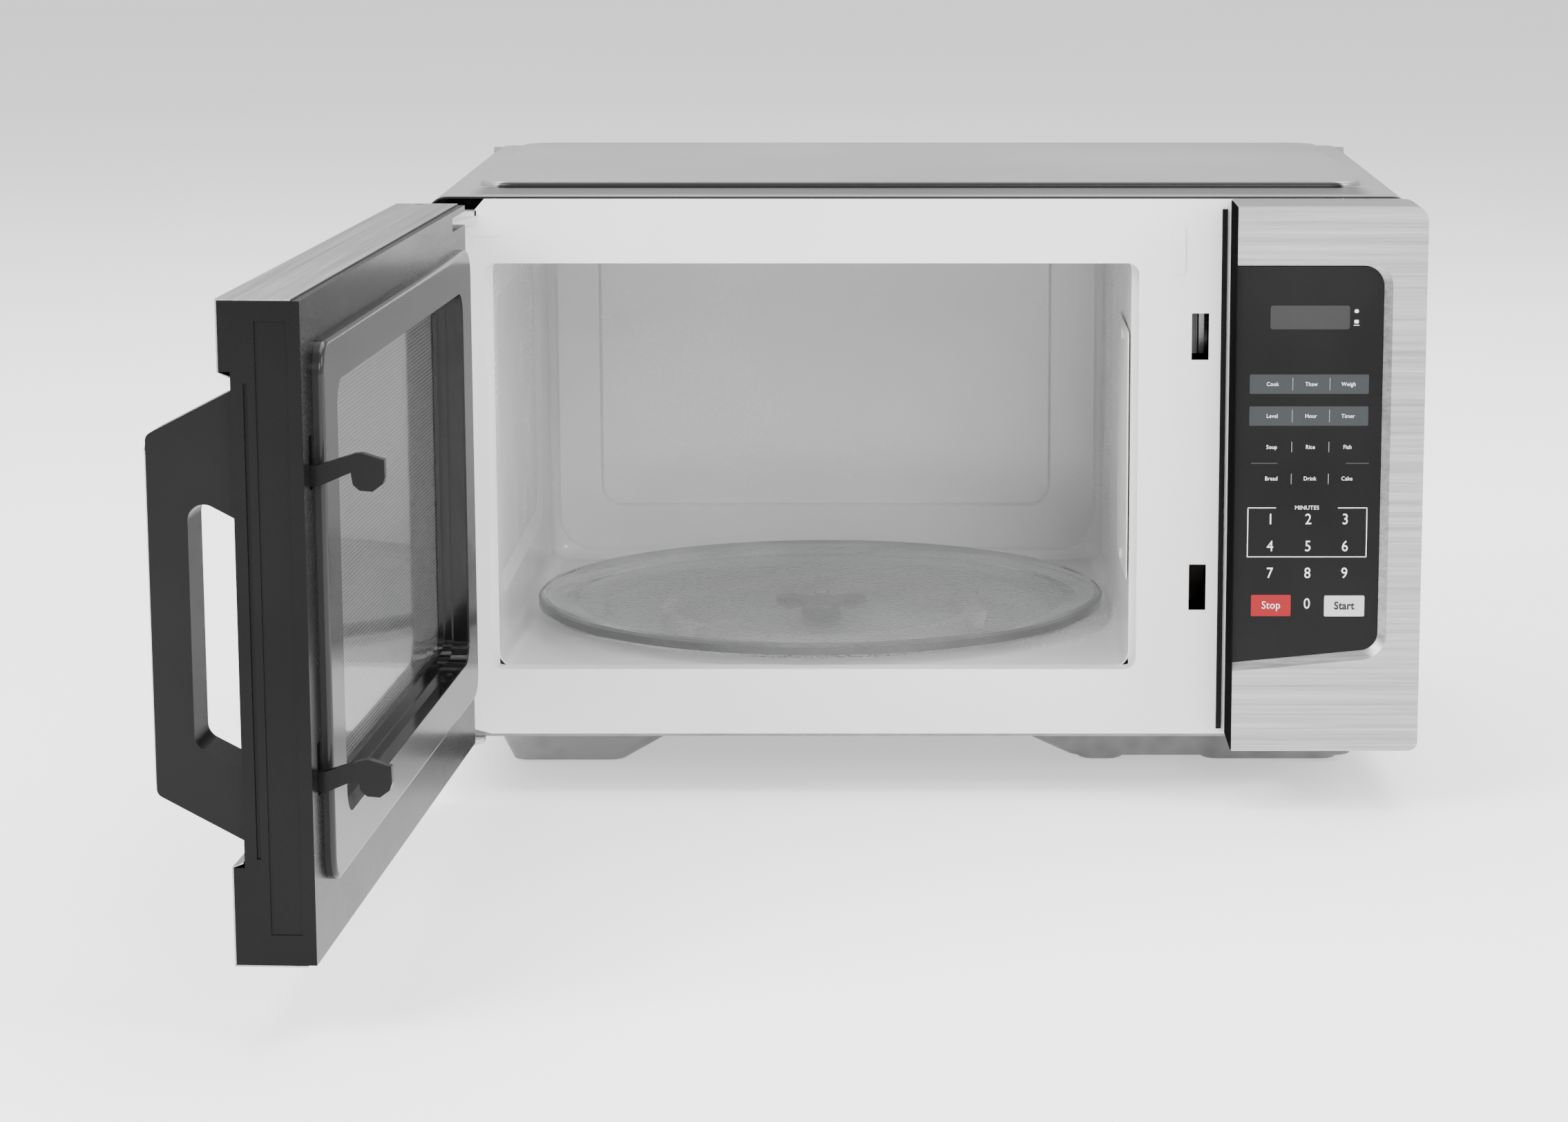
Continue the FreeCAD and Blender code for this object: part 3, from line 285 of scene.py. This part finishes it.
tracks = circuit_card.add("ShaderNodeTexBrick", {}, {"Vector": circuit_card.spot(), "Scale": 90.0,
                                                      "Color1": (0.02, 0.10, 0.05, 1),
                                                      "Color2": (0.03, 0.14, 0.07, 1),
                                                      "Mortar": (0.10, 0.26, 0.12, 1)}, "Color")
solder = circuit_card.noise(220.0)
dress(circuit_card.onto({"Base Color": tracks, "Roughness": 0.3 + 0.2 * solder}), "control_board",
      "noise_filter_board")
fan_grey = moulding("fan_grey", (0.16, 0.16, 0.165), (0.22, 0.22, 0.225), 0.5)
dress(fan_grey, "fan_shroud", "fan_blade")
lamp_glass = Finish("lamp_glass", {"Transmission Weight": 0.9, "IOR": 1.45})
frosting = lamp_glass.noise(300.0)
dress(lamp_glass.onto({"Base Color": lamp_glass.tones(frosting, (0.85, 0.85, 0.8), (0.95, 0.95, 0.9)),
                       "Roughness": 0.1 + 0.3 * frosting}), "cavity_lamp")

# ------------------------------------------------------------------ black parts
# Door moulding, handle, hooks, spacers and the panel's body are black plastic with
# a satin tool texture, softened at the edges. The window's funnel is polished
# black, and the feet are rubber.
satin_black = moulding("satin_black", (0.004, 0.004, 0.004), (0.007, 0.007, 0.007), 0.26, 900.0, 0.06, 0.10)
soft_black = moulding("soft_black", (0.004, 0.004, 0.004), (0.008, 0.008, 0.008), 0.22, 500.0, 0.05, 0.12)
polished_black = moulding("polished_black", (0.003, 0.003, 0.003), (0.005, 0.005, 0.005), 0.08, 300.0,
                          0.02, 0.45)
feet_rubber = moulding("feet_rubber", (0.02, 0.02, 0.02), (0.035, 0.035, 0.035), 0.75, 400.0, 0.3)
dead_black = moulding("dead_black", (0.004, 0.004, 0.004), (0.007, 0.007, 0.007), 0.7, 900.0, 0.1, 0.0)
dead_black.node_tree.nodes["Principled BSDF"].inputs["IOR"].default_value = 1.08
dress(dead_black, "control_panel_housing", "latch_bracket")
dress(satin_black, "door_frame", "rear_spacers", "cord_gland", "side_strip",
      "interlock_switches", "thermal_cutout", "hv_diode")
dress(soft_black, "door_handle", "latch_hooks")
dress(polished_black, "door_window_frame")
for node, softness in (("door_frame", 0.0007), ("door_handle", 0.0016), ("latch_hooks", 0.0004)):
    rounding = frame["nodes"][node].modifiers.new("softened_edges", "BEVEL")
    rounding.width = softness
    rounding.segments = 2
    rounding.limit_method = "ANGLE"
    rounding.angle_limit = math.radians(40)
    rounding.use_clamp_overlap = True
dress(feet_rubber, "rubber_feet")

# ------------------------------------------------------------ brushed stainless
# Fascia and door bands are stainless sheet brushed along their length: long fine
# scratches, some deeper, that catch the light in streaks.
DOOR_SWING = math.radians(93)


def brushed(name, turn):
    """Scratches that run along the width of the oven before it is turned."""
    steel = Finish(name, {"Metallic": 1.0})
    along = steel.spot((5, 800, 800), turn)
    fine = steel.noise(1.0, 6.0, 0.75, along)
    coarse = steel.noise(1.0, 3.0, 0.6, steel.spot((5, 240, 240), turn))
    broad = steel.noise(2.2, 2.0, 0.5, steel.spot((1, 1, 1), turn))
    streak = 0.55 * fine + 0.30 * coarse + 0.15 * broad
    return steel.onto({"Base Color": steel.tones(streak, (0.22, 0.22, 0.22), (0.50, 0.50, 0.50), 0.34, 0.66),
                       "Roughness": 0.24 + 0.26 * streak,
                       "Normal": steel.relief(fine, 0.14, 0.0002)})


dress(brushed("brushed_fascia", 0.0), "control_panel_fascia")
dress(brushed("brushed_bands", DOOR_SWING), "door_trim_top", "door_trim_bottom")

# ----------------------------------------------------------------- bright steel
# The handle's skin, the screws, the hinge pins and the latch spring are plain
# steel, drawn or turned and then polished, with faint clouds of wear.
bright_steel = Finish("bright_steel", {"Metallic": 1.0})
polish = bright_steel.noise(80.0, 3.0)
dress(bright_steel.onto({"Base Color": bright_steel.tones(polish, (0.42, 0.42, 0.42), (0.56, 0.56, 0.56)),
                         "Roughness": 0.16 + 0.12 * polish}), "handle_skin", "handle_screws", "latch_spring",
      "door_hinge_pins", "case_screws")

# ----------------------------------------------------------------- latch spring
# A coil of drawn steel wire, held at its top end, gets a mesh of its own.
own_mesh(frame["nodes"]["latch_spring"])

# ------------------------------------------------------------------ door window
# The outer pane is dark glass with a printed border. Inside it the seal ring is
# dark enamelled steel, and a clear film closes the window.
ring_enamel = enamel("ring_enamel", (0.018, 0.018, 0.018), (0.026, 0.026, 0.026), 0.18, 500.0)
ring_enamel.node_tree.nodes["Principled BSDF"].inputs["Specular IOR Level"].default_value = 0.22
dress(ring_enamel, "door_seal_ring")
BORDER_HANDLE_SIDE = 0.0860
BORDER_HINGE_SIDE = 0.0400
BORDER_BELOW = 0.0220
BORDER_ABOVE = 0.0200
PRINT_EDGE = 0.0003
glass_low, glass_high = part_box("door_glass")
window_tint = Finish("window_tint", {"Specular IOR Level": 0.22, "IOR": 1.45})
haze = window_tint.noise(12.0)
lengthward = window_tint.add("ShaderNodeSeparateXYZ", {}, {0: window_tint.spot()}, "Y")
heightward = window_tint.add("ShaderNodeSeparateXYZ", {}, {0: window_tint.spot()}, "Z")


def window_edge(level, start, blur):
    """Printed border's edge: 0 at start, 1 once past its blur."""
    return window_tint.add("ShaderNodeMapRange", {},
                           {"Value": level, "From Min": start, "From Max": start + blur})


clear_part = (window_edge(lengthward, glass_low.y + BORDER_HANDLE_SIDE, PRINT_EDGE)
              * window_edge(lengthward, glass_high.y - BORDER_HINGE_SIDE, -PRINT_EDGE)
              * window_edge(heightward, glass_low.z + BORDER_BELOW, PRINT_EDGE)
              * window_edge(heightward, glass_high.z - BORDER_ABOVE, -PRINT_EDGE))
mesh_dots = window_tint.add("ShaderNodeTexVoronoi", {"feature": "F1"},
                            {"Vector": window_tint.spot(), "Scale": 480.0, "Randomness": 0.0}, "Distance")
seen_mesh = clear_part * (0.4 + 0.6 * mesh_dots)
smoke = window_tint.tones(seen_mesh, (0.003, 0.003, 0.003), (0.016, 0.016, 0.016), 0.0, 1.0)
dress(window_tint.onto({"Base Color": smoke,
                        "Roughness": 0.05 + 0.05 * haze}), "door_glass")
clear_film = Finish("clear_film", {"Transmission Weight": 1.0, "IOR": 1.2})
ripple = clear_film.noise(25.0, 2.0)
dress(clear_film.onto({"Base Color": clear_film.tones(ripple, (0.93, 0.93, 0.93), (0.98, 0.98, 0.98)),
                       "Roughness": 0.02 + 0.05 * ripple,
                       "Normal": clear_film.relief(ripple, 0.05, 0.001)}), "door_inner_film")

# --------------------------------------------------------------- pierced screen
# Thin enamelled sheet behind the window, punched all over with a honeycomb of
# small holes. One ring round a hole is drawn, then repeated along and up.
HINGE = Vector(next(joint["pos_m"] for joint in frame["joints"] if joint["name"] == "door_hinge"))


def swing_open(piece):
    """Turn a piece drawn on the shut door to where the door is stored."""
    turn = Matrix.Rotation(-DOOR_SWING, 4, "Z")
    about_hinge = Matrix.Translation(HINGE) @ turn @ Matrix.Translation(-HINGE)
    piece.data.transform(about_hinge)


def start_clean():
    """Leave edit mode with nothing selected."""
    if bpy.context.object and bpy.context.object.mode != "OBJECT":
        bpy.ops.object.mode_set(mode="OBJECT")
    bpy.ops.object.select_all(action="DESELECT")


def settle(piece, name, material, body):
    """Name a finished piece, put its place in its mesh, dress it and let it ride."""
    start_clean()
    piece.select_set(True)
    bpy.context.view_layer.objects.active = piece
    bpy.ops.object.transform_apply(location=True, rotation=True, scale=True)
    piece.name = name
    piece.data.name = name
    piece.data.materials.clear()
    piece.data.materials.append(material)
    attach(piece, body)
    return piece


HOLE_PITCH = 0.0021
HOLE_RADIUS = 0.00062
SCREEN_LEFT = -0.1883
SCREEN_RIGHT = 0.1427
SCREEN_LOW = 0.0855
SCREEN_HIGH = 0.2765
SCREEN_DEPTH = 0.0270
ROW_PITCH = HOLE_PITCH * math.sqrt(3)
start_clean()
bpy.ops.mesh.primitive_circle_add(vertices=6, radius=HOLE_PITCH / math.sqrt(3), fill_type="NGON",
                                  location=(0, 0, 0))
screen = bpy.context.object
bpy.ops.object.mode_set(mode="EDIT")
bpy.ops.mesh.select_all(action="SELECT")
bpy.ops.transform.rotate(value=math.radians(30), orient_axis="Z", center_override=(0, 0, 0))
bpy.ops.mesh.inset(thickness=HOLE_PITCH / 2 - HOLE_RADIUS)
bpy.ops.mesh.delete(type="FACE")
bpy.ops.mesh.select_all(action="SELECT")
bpy.ops.mesh.duplicate_move(TRANSFORM_OT_translate={"value": (HOLE_PITCH / 2, ROW_PITCH / 2, 0)})
bpy.ops.object.mode_set(mode="OBJECT")
columns = int((SCREEN_RIGHT - SCREEN_LEFT) / HOLE_PITCH) + 1
rows = int((SCREEN_HIGH - SCREEN_LOW) / ROW_PITCH) + 1
for count, step in ((columns, (HOLE_PITCH, 0, 0)), (rows, (0, ROW_PITCH, 0))):
    spread = screen.modifiers.new("spread", "ARRAY")
    spread.use_relative_offset = False
    spread.use_constant_offset = True
    spread.constant_offset_displace = step
    spread.count = count
    bpy.ops.object.modifier_apply(modifier=spread.name)
bpy.ops.object.mode_set(mode="EDIT")
bpy.ops.mesh.select_all(action="SELECT")
bpy.ops.mesh.remove_doubles(threshold=0.00002)
bpy.ops.object.mode_set(mode="OBJECT")
corner = Matrix.Translation((SCREEN_LEFT, SCREEN_DEPTH, SCREEN_LOW))
screen.data.transform(corner @ Matrix.Rotation(math.pi / 2, 4, "X"))
screen.data.flip_normals()
swing_open(screen)
screen_enamel = enamel("screen_enamel", (0.20, 0.20, 0.20), (0.26, 0.26, 0.26), 0.34, 300.0, 0.0)
settle(screen, "pierced_screen", screen_enamel, "door")
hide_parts("door_screen")

# ------------------------------------------------------------------ key panel
# A printed polyester membrane: black ground with a fine gloss, grey strips, thin
# rules, white numerals and two coloured keys. The display is a smoked window.
membrane_low, membrane_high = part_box("keypad_membrane")
membrane_ink = moulding("membrane_ink", (0.004, 0.004, 0.004), (0.010, 0.010, 0.010), 0.30, 1500.0,
                        0.05, 0.10)
dress(membrane_ink, "keypad_membrane")
smoked = moulding("smoked_display", (0.030, 0.030, 0.030), (0.038, 0.038, 0.038), 0.32, 700.0, 0.03, 0.1)
dress(smoked, "display_window")


def ink(name, tone):
    """Screen-printed ink: even, slightly rough, with pinhole variation."""
    print_ink = Finish(name, {"Specular IOR Level": 0.3})
    pinholes = print_ink.noise(2500.0, 2.0)
    dark = tuple(0.9 * part for part in tone)
    return print_ink.onto({"Base Color": print_ink.tones(pinholes, dark, tone, 0.35, 0.6),
                           "Roughness": 0.45 + 0.15 * pinholes})


white_ink = ink("white_ink", (0.82, 0.82, 0.82))
grey_ink = ink("grey_ink", (0.022, 0.026, 0.029))
rule_ink = ink("rule_ink", (0.05, 0.05, 0.05))
red_ink = ink("red_ink", (0.26, 0.0, 0.004))
key_white = ink("key_white", (0.50, 0.50, 0.50))
black_ink = ink("black_ink", (0.012, 0.012, 0.012))
PRINT_FRONT = membrane_low.y - 0.00006
PRINT_STEP = 0.00005
MM = 0.001


def spot_on_panel(across, down, layer=0):
    """A point in millimetres from the membrane's top left corner."""
    return Vector((membrane_low.x + across * MM, PRINT_FRONT - layer * PRINT_STEP,
                   membrane_high.z - down * MM))


def join_prints(name, parts, material):
    """Make one printed piece of many flat shapes."""
    start_clean()
    for part in parts:
        part.select_set(True)
    bpy.context.view_layer.objects.active = parts[0]
    bpy.ops.object.join()
    piece = settle(parts[0], name, material, "chassis")


def patch(across, down, wide, tall, layer=0, corner=0.0):
    """A flat printed rectangle, given by its top left corner, with softened corners."""
    start_clean()
    bpy.ops.mesh.primitive_plane_add(size=1, location=(0, 0, 0))
    flat = bpy.context.object
    flat.data.transform(Matrix.Diagonal((wide * MM, tall * MM, 1, 1)))
    if corner:
        bpy.ops.object.mode_set(mode="EDIT")
        bpy.ops.mesh.select_all(action="SELECT")
        bpy.ops.mesh.bevel(offset=corner * MM, affect="VERTICES", segments=4)
        bpy.ops.object.mode_set(mode="OBJECT")
    centre = spot_on_panel(across + wide / 2, down + tall / 2, layer)
    flat.data.transform(Matrix.Translation(centre) @ Matrix.Rotation(math.pi / 2, 4, "X"))
    return flat


def word(text, across, down, height, layer=1, squeeze=0.9, bold=0.0):
    """Printed characters centred on a point, as a flat mesh."""
    start_clean()
    bpy.ops.object.text_add(location=(0, 0, 0))
    letters = bpy.context.object
    letters.data.body = text
    letters.data.align_x = "CENTER"
    letters.data.align_y = "CENTER"
    letters.data.size = height * MM / 0.7
    letters.data.resolution_u = 3
    letters.data.space_character = 1.05
    letters.data.offset = bold * height * MM
    bpy.ops.object.convert(target="MESH")
    letters = bpy.context.object
    upright = Matrix.Rotation(math.pi / 2, 4, "X") @ Matrix.Diagonal((squeeze, 1, 1, 1))
    letters.data.transform(Matrix.Translation(spot_on_panel(across, down, layer)) @ upright)
    return letters


COLUMNS = (19.0, 38.6, 57.8)
GAPS = (29.2, 48.4)              # rules between the columns
RULE = 0.35                      # line width of a rule
LINE = 0.45                      # line width of the box round six numerals
NUMERAL = 5.6                    # letter heights
SMALL_WORD = 2.1
KEY_WORD = 4.0
FIRST_ROW = 131.8                # numerals 1 to 3, and the step to each row below
ROW_STEP = 14.2
ZERO_ROW = 176.4
strips = [patch(7.2, down, 61.4, 10.1, 0, 0.5) for down in (55.9, 72.5)]
join_prints("key_strips", strips, grey_ink)
rules = [patch(across, down, RULE, 6.6, 1) for across in GAPS for down in (57.6, 74.2)]
rules += [patch(across, 91.0, RULE, 5.4) for across in GAPS]
rules += [patch(across, 107.7, RULE, 5.4) for across in GAPS]
join_prints("key_rules", rules, ink("pale_rule_ink", (0.20, 0.21, 0.22)))
dim_rules = [patch(8.5, 102.0, 13.6, 0.4), patch(57.6, 102.0, 11.8, 0.4)]
join_prints("key_divider", dim_rules, rule_ink)
outline_bars = [patch(7.0, 125.4, 14.7, LINE), patch(53.9, 125.4, 15.2, LINE), patch(7.0, 151.2, 62.1, LINE),
                patch(7.0, 125.4, LINE, 26.2), patch(68.7, 125.4, LINE, 26.2)]
legends = [word(str(number), COLUMNS[(number - 1) % 3], FIRST_ROW + ROW_STEP * ((number - 1) // 3), NUMERAL)
           for number in range(1, 10)]
legends.append(word("0", COLUMNS[1], ZERO_ROW, NUMERAL))
WORDS = (("Cook", 0, 61.0), ("Thaw", 1, 61.0), ("Weigh", 2, 61.0),
         ("Level", 0, 77.6), ("Hour", 1, 77.6), ("Timer", 2, 77.6),
         ("Soup", 0, 93.8), ("Rice", 1, 93.8), ("Fish", 2, 93.8),
         ("Bread", 0, 110.3), ("Drink", 1, 110.3), ("Cake", 2, 110.3))
legends += [word(text, COLUMNS[column] + (0, 0.4, 0.4)[column], down, SMALL_WORD)
            for text, column, down in WORDS]
legends.append(word("MINUTES", 37.8, 125.6, SMALL_WORD, 1, 1.0))
legends.append(word("Stop", 19.9, 177.1, KEY_WORD, 2))
legends.append(patch(60.5, 22.2, 2.2, 1.8, 1, 0.8))
legends.append(patch(60.5, 27.6, 2.2, 1.8, 1, 0.4))
legends.append(patch(60.2, 30.2, 2.9, RULE, 1))
join_prints("key_legends", legends + outline_bars, white_ink)
join_prints("stop_key", [patch(9.5, 171.5, 20.7, 11.3, 1, 0.7)], red_ink)
join_prints("start_key", [patch(47.6, 171.9, 20.9, 11.0, 1, 0.7)], key_white)
start_words = [word("Start", 58.0, 177.4, KEY_WORD, 2, 0.9, 0.05)]
join_prints("start_legend", start_words, black_ink)

# --------------------------------------------------------------- studio and view
# Pale sweep under and behind the oven, broad soft boxes to both sides and above,
# and a long lens a little above the oven's top.
start_clean()
bpy.ops.mesh.primitive_plane_add(size=30, location=(0, 0, -0.0005))
floor = bpy.context.object
floor.name = "studio_floor"
pale = Finish("studio_pale", {"Specular IOR Level": 0.1, "Emission Strength": 0.65})
sweep = pale.noise(0.8)
ground = pale.tones(sweep, (0.89, 0.89, 0.89), (0.91, 0.91, 0.91))
glow = pale.tones(sweep, (0.98, 0.98, 0.98), (1.0, 1.0, 1.0))
floor.data.materials.append(pale.onto({"Base Color": ground, "Emission Color": glow,
                                       "Roughness": 0.8 + 0.1 * sweep}))

studio = bpy.data.worlds.new("studio")
studio.use_nodes = True
studio.node_tree.nodes["Background"].inputs["Color"].default_value = (1, 1, 1, 1)
studio.node_tree.nodes["Background"].inputs["Strength"].default_value = 0.6
bpy.context.scene.world = studio

OVEN_MIDDLE = Vector((0, 0.2, 0.17))
SOFT_BOXES = (("box_left", (-1.7, -1.4, 1.6), 1.4, 95), ("box_right", (2.2, -1.0, 1.4), 1.2, 45),
              ("box_top", (0.1, 0.6, 2.6), 3.0, 170), ("box_front", (0.7, -2.9, 1.3), 0.9, 45))
for name, place, breadth, power in SOFT_BOXES:
    light = bpy.data.lights.new(name, "AREA")
    light.shape = "SQUARE"
    light.size = breadth
    light.energy = power
    lamp = bpy.data.objects.new(name, light)
    bpy.context.scene.collection.objects.link(lamp)
    lamp.location = place
    aim = OVEN_MIDDLE - Vector(place)
    lamp.rotation_euler = aim.to_track_quat("-Z", "Y").to_euler()

LENS = 92.94
CAMERA_PLACE = (0.0301, -2.0639, 0.5120)
CAMERA_PITCH = math.radians(79.61)
FRAME_SHIFT = -0.0838
eye_data = bpy.data.cameras.new("eye")
eye_data.lens = LENS
eye_data.sensor_width = 36
eye_data.shift_x = FRAME_SHIFT
eye = bpy.data.objects.new("eye", eye_data)
bpy.context.scene.collection.objects.link(eye)
eye.location = CAMERA_PLACE
eye.rotation_euler = (CAMERA_PITCH, 0, 0)
bpy.context.scene.camera = eye
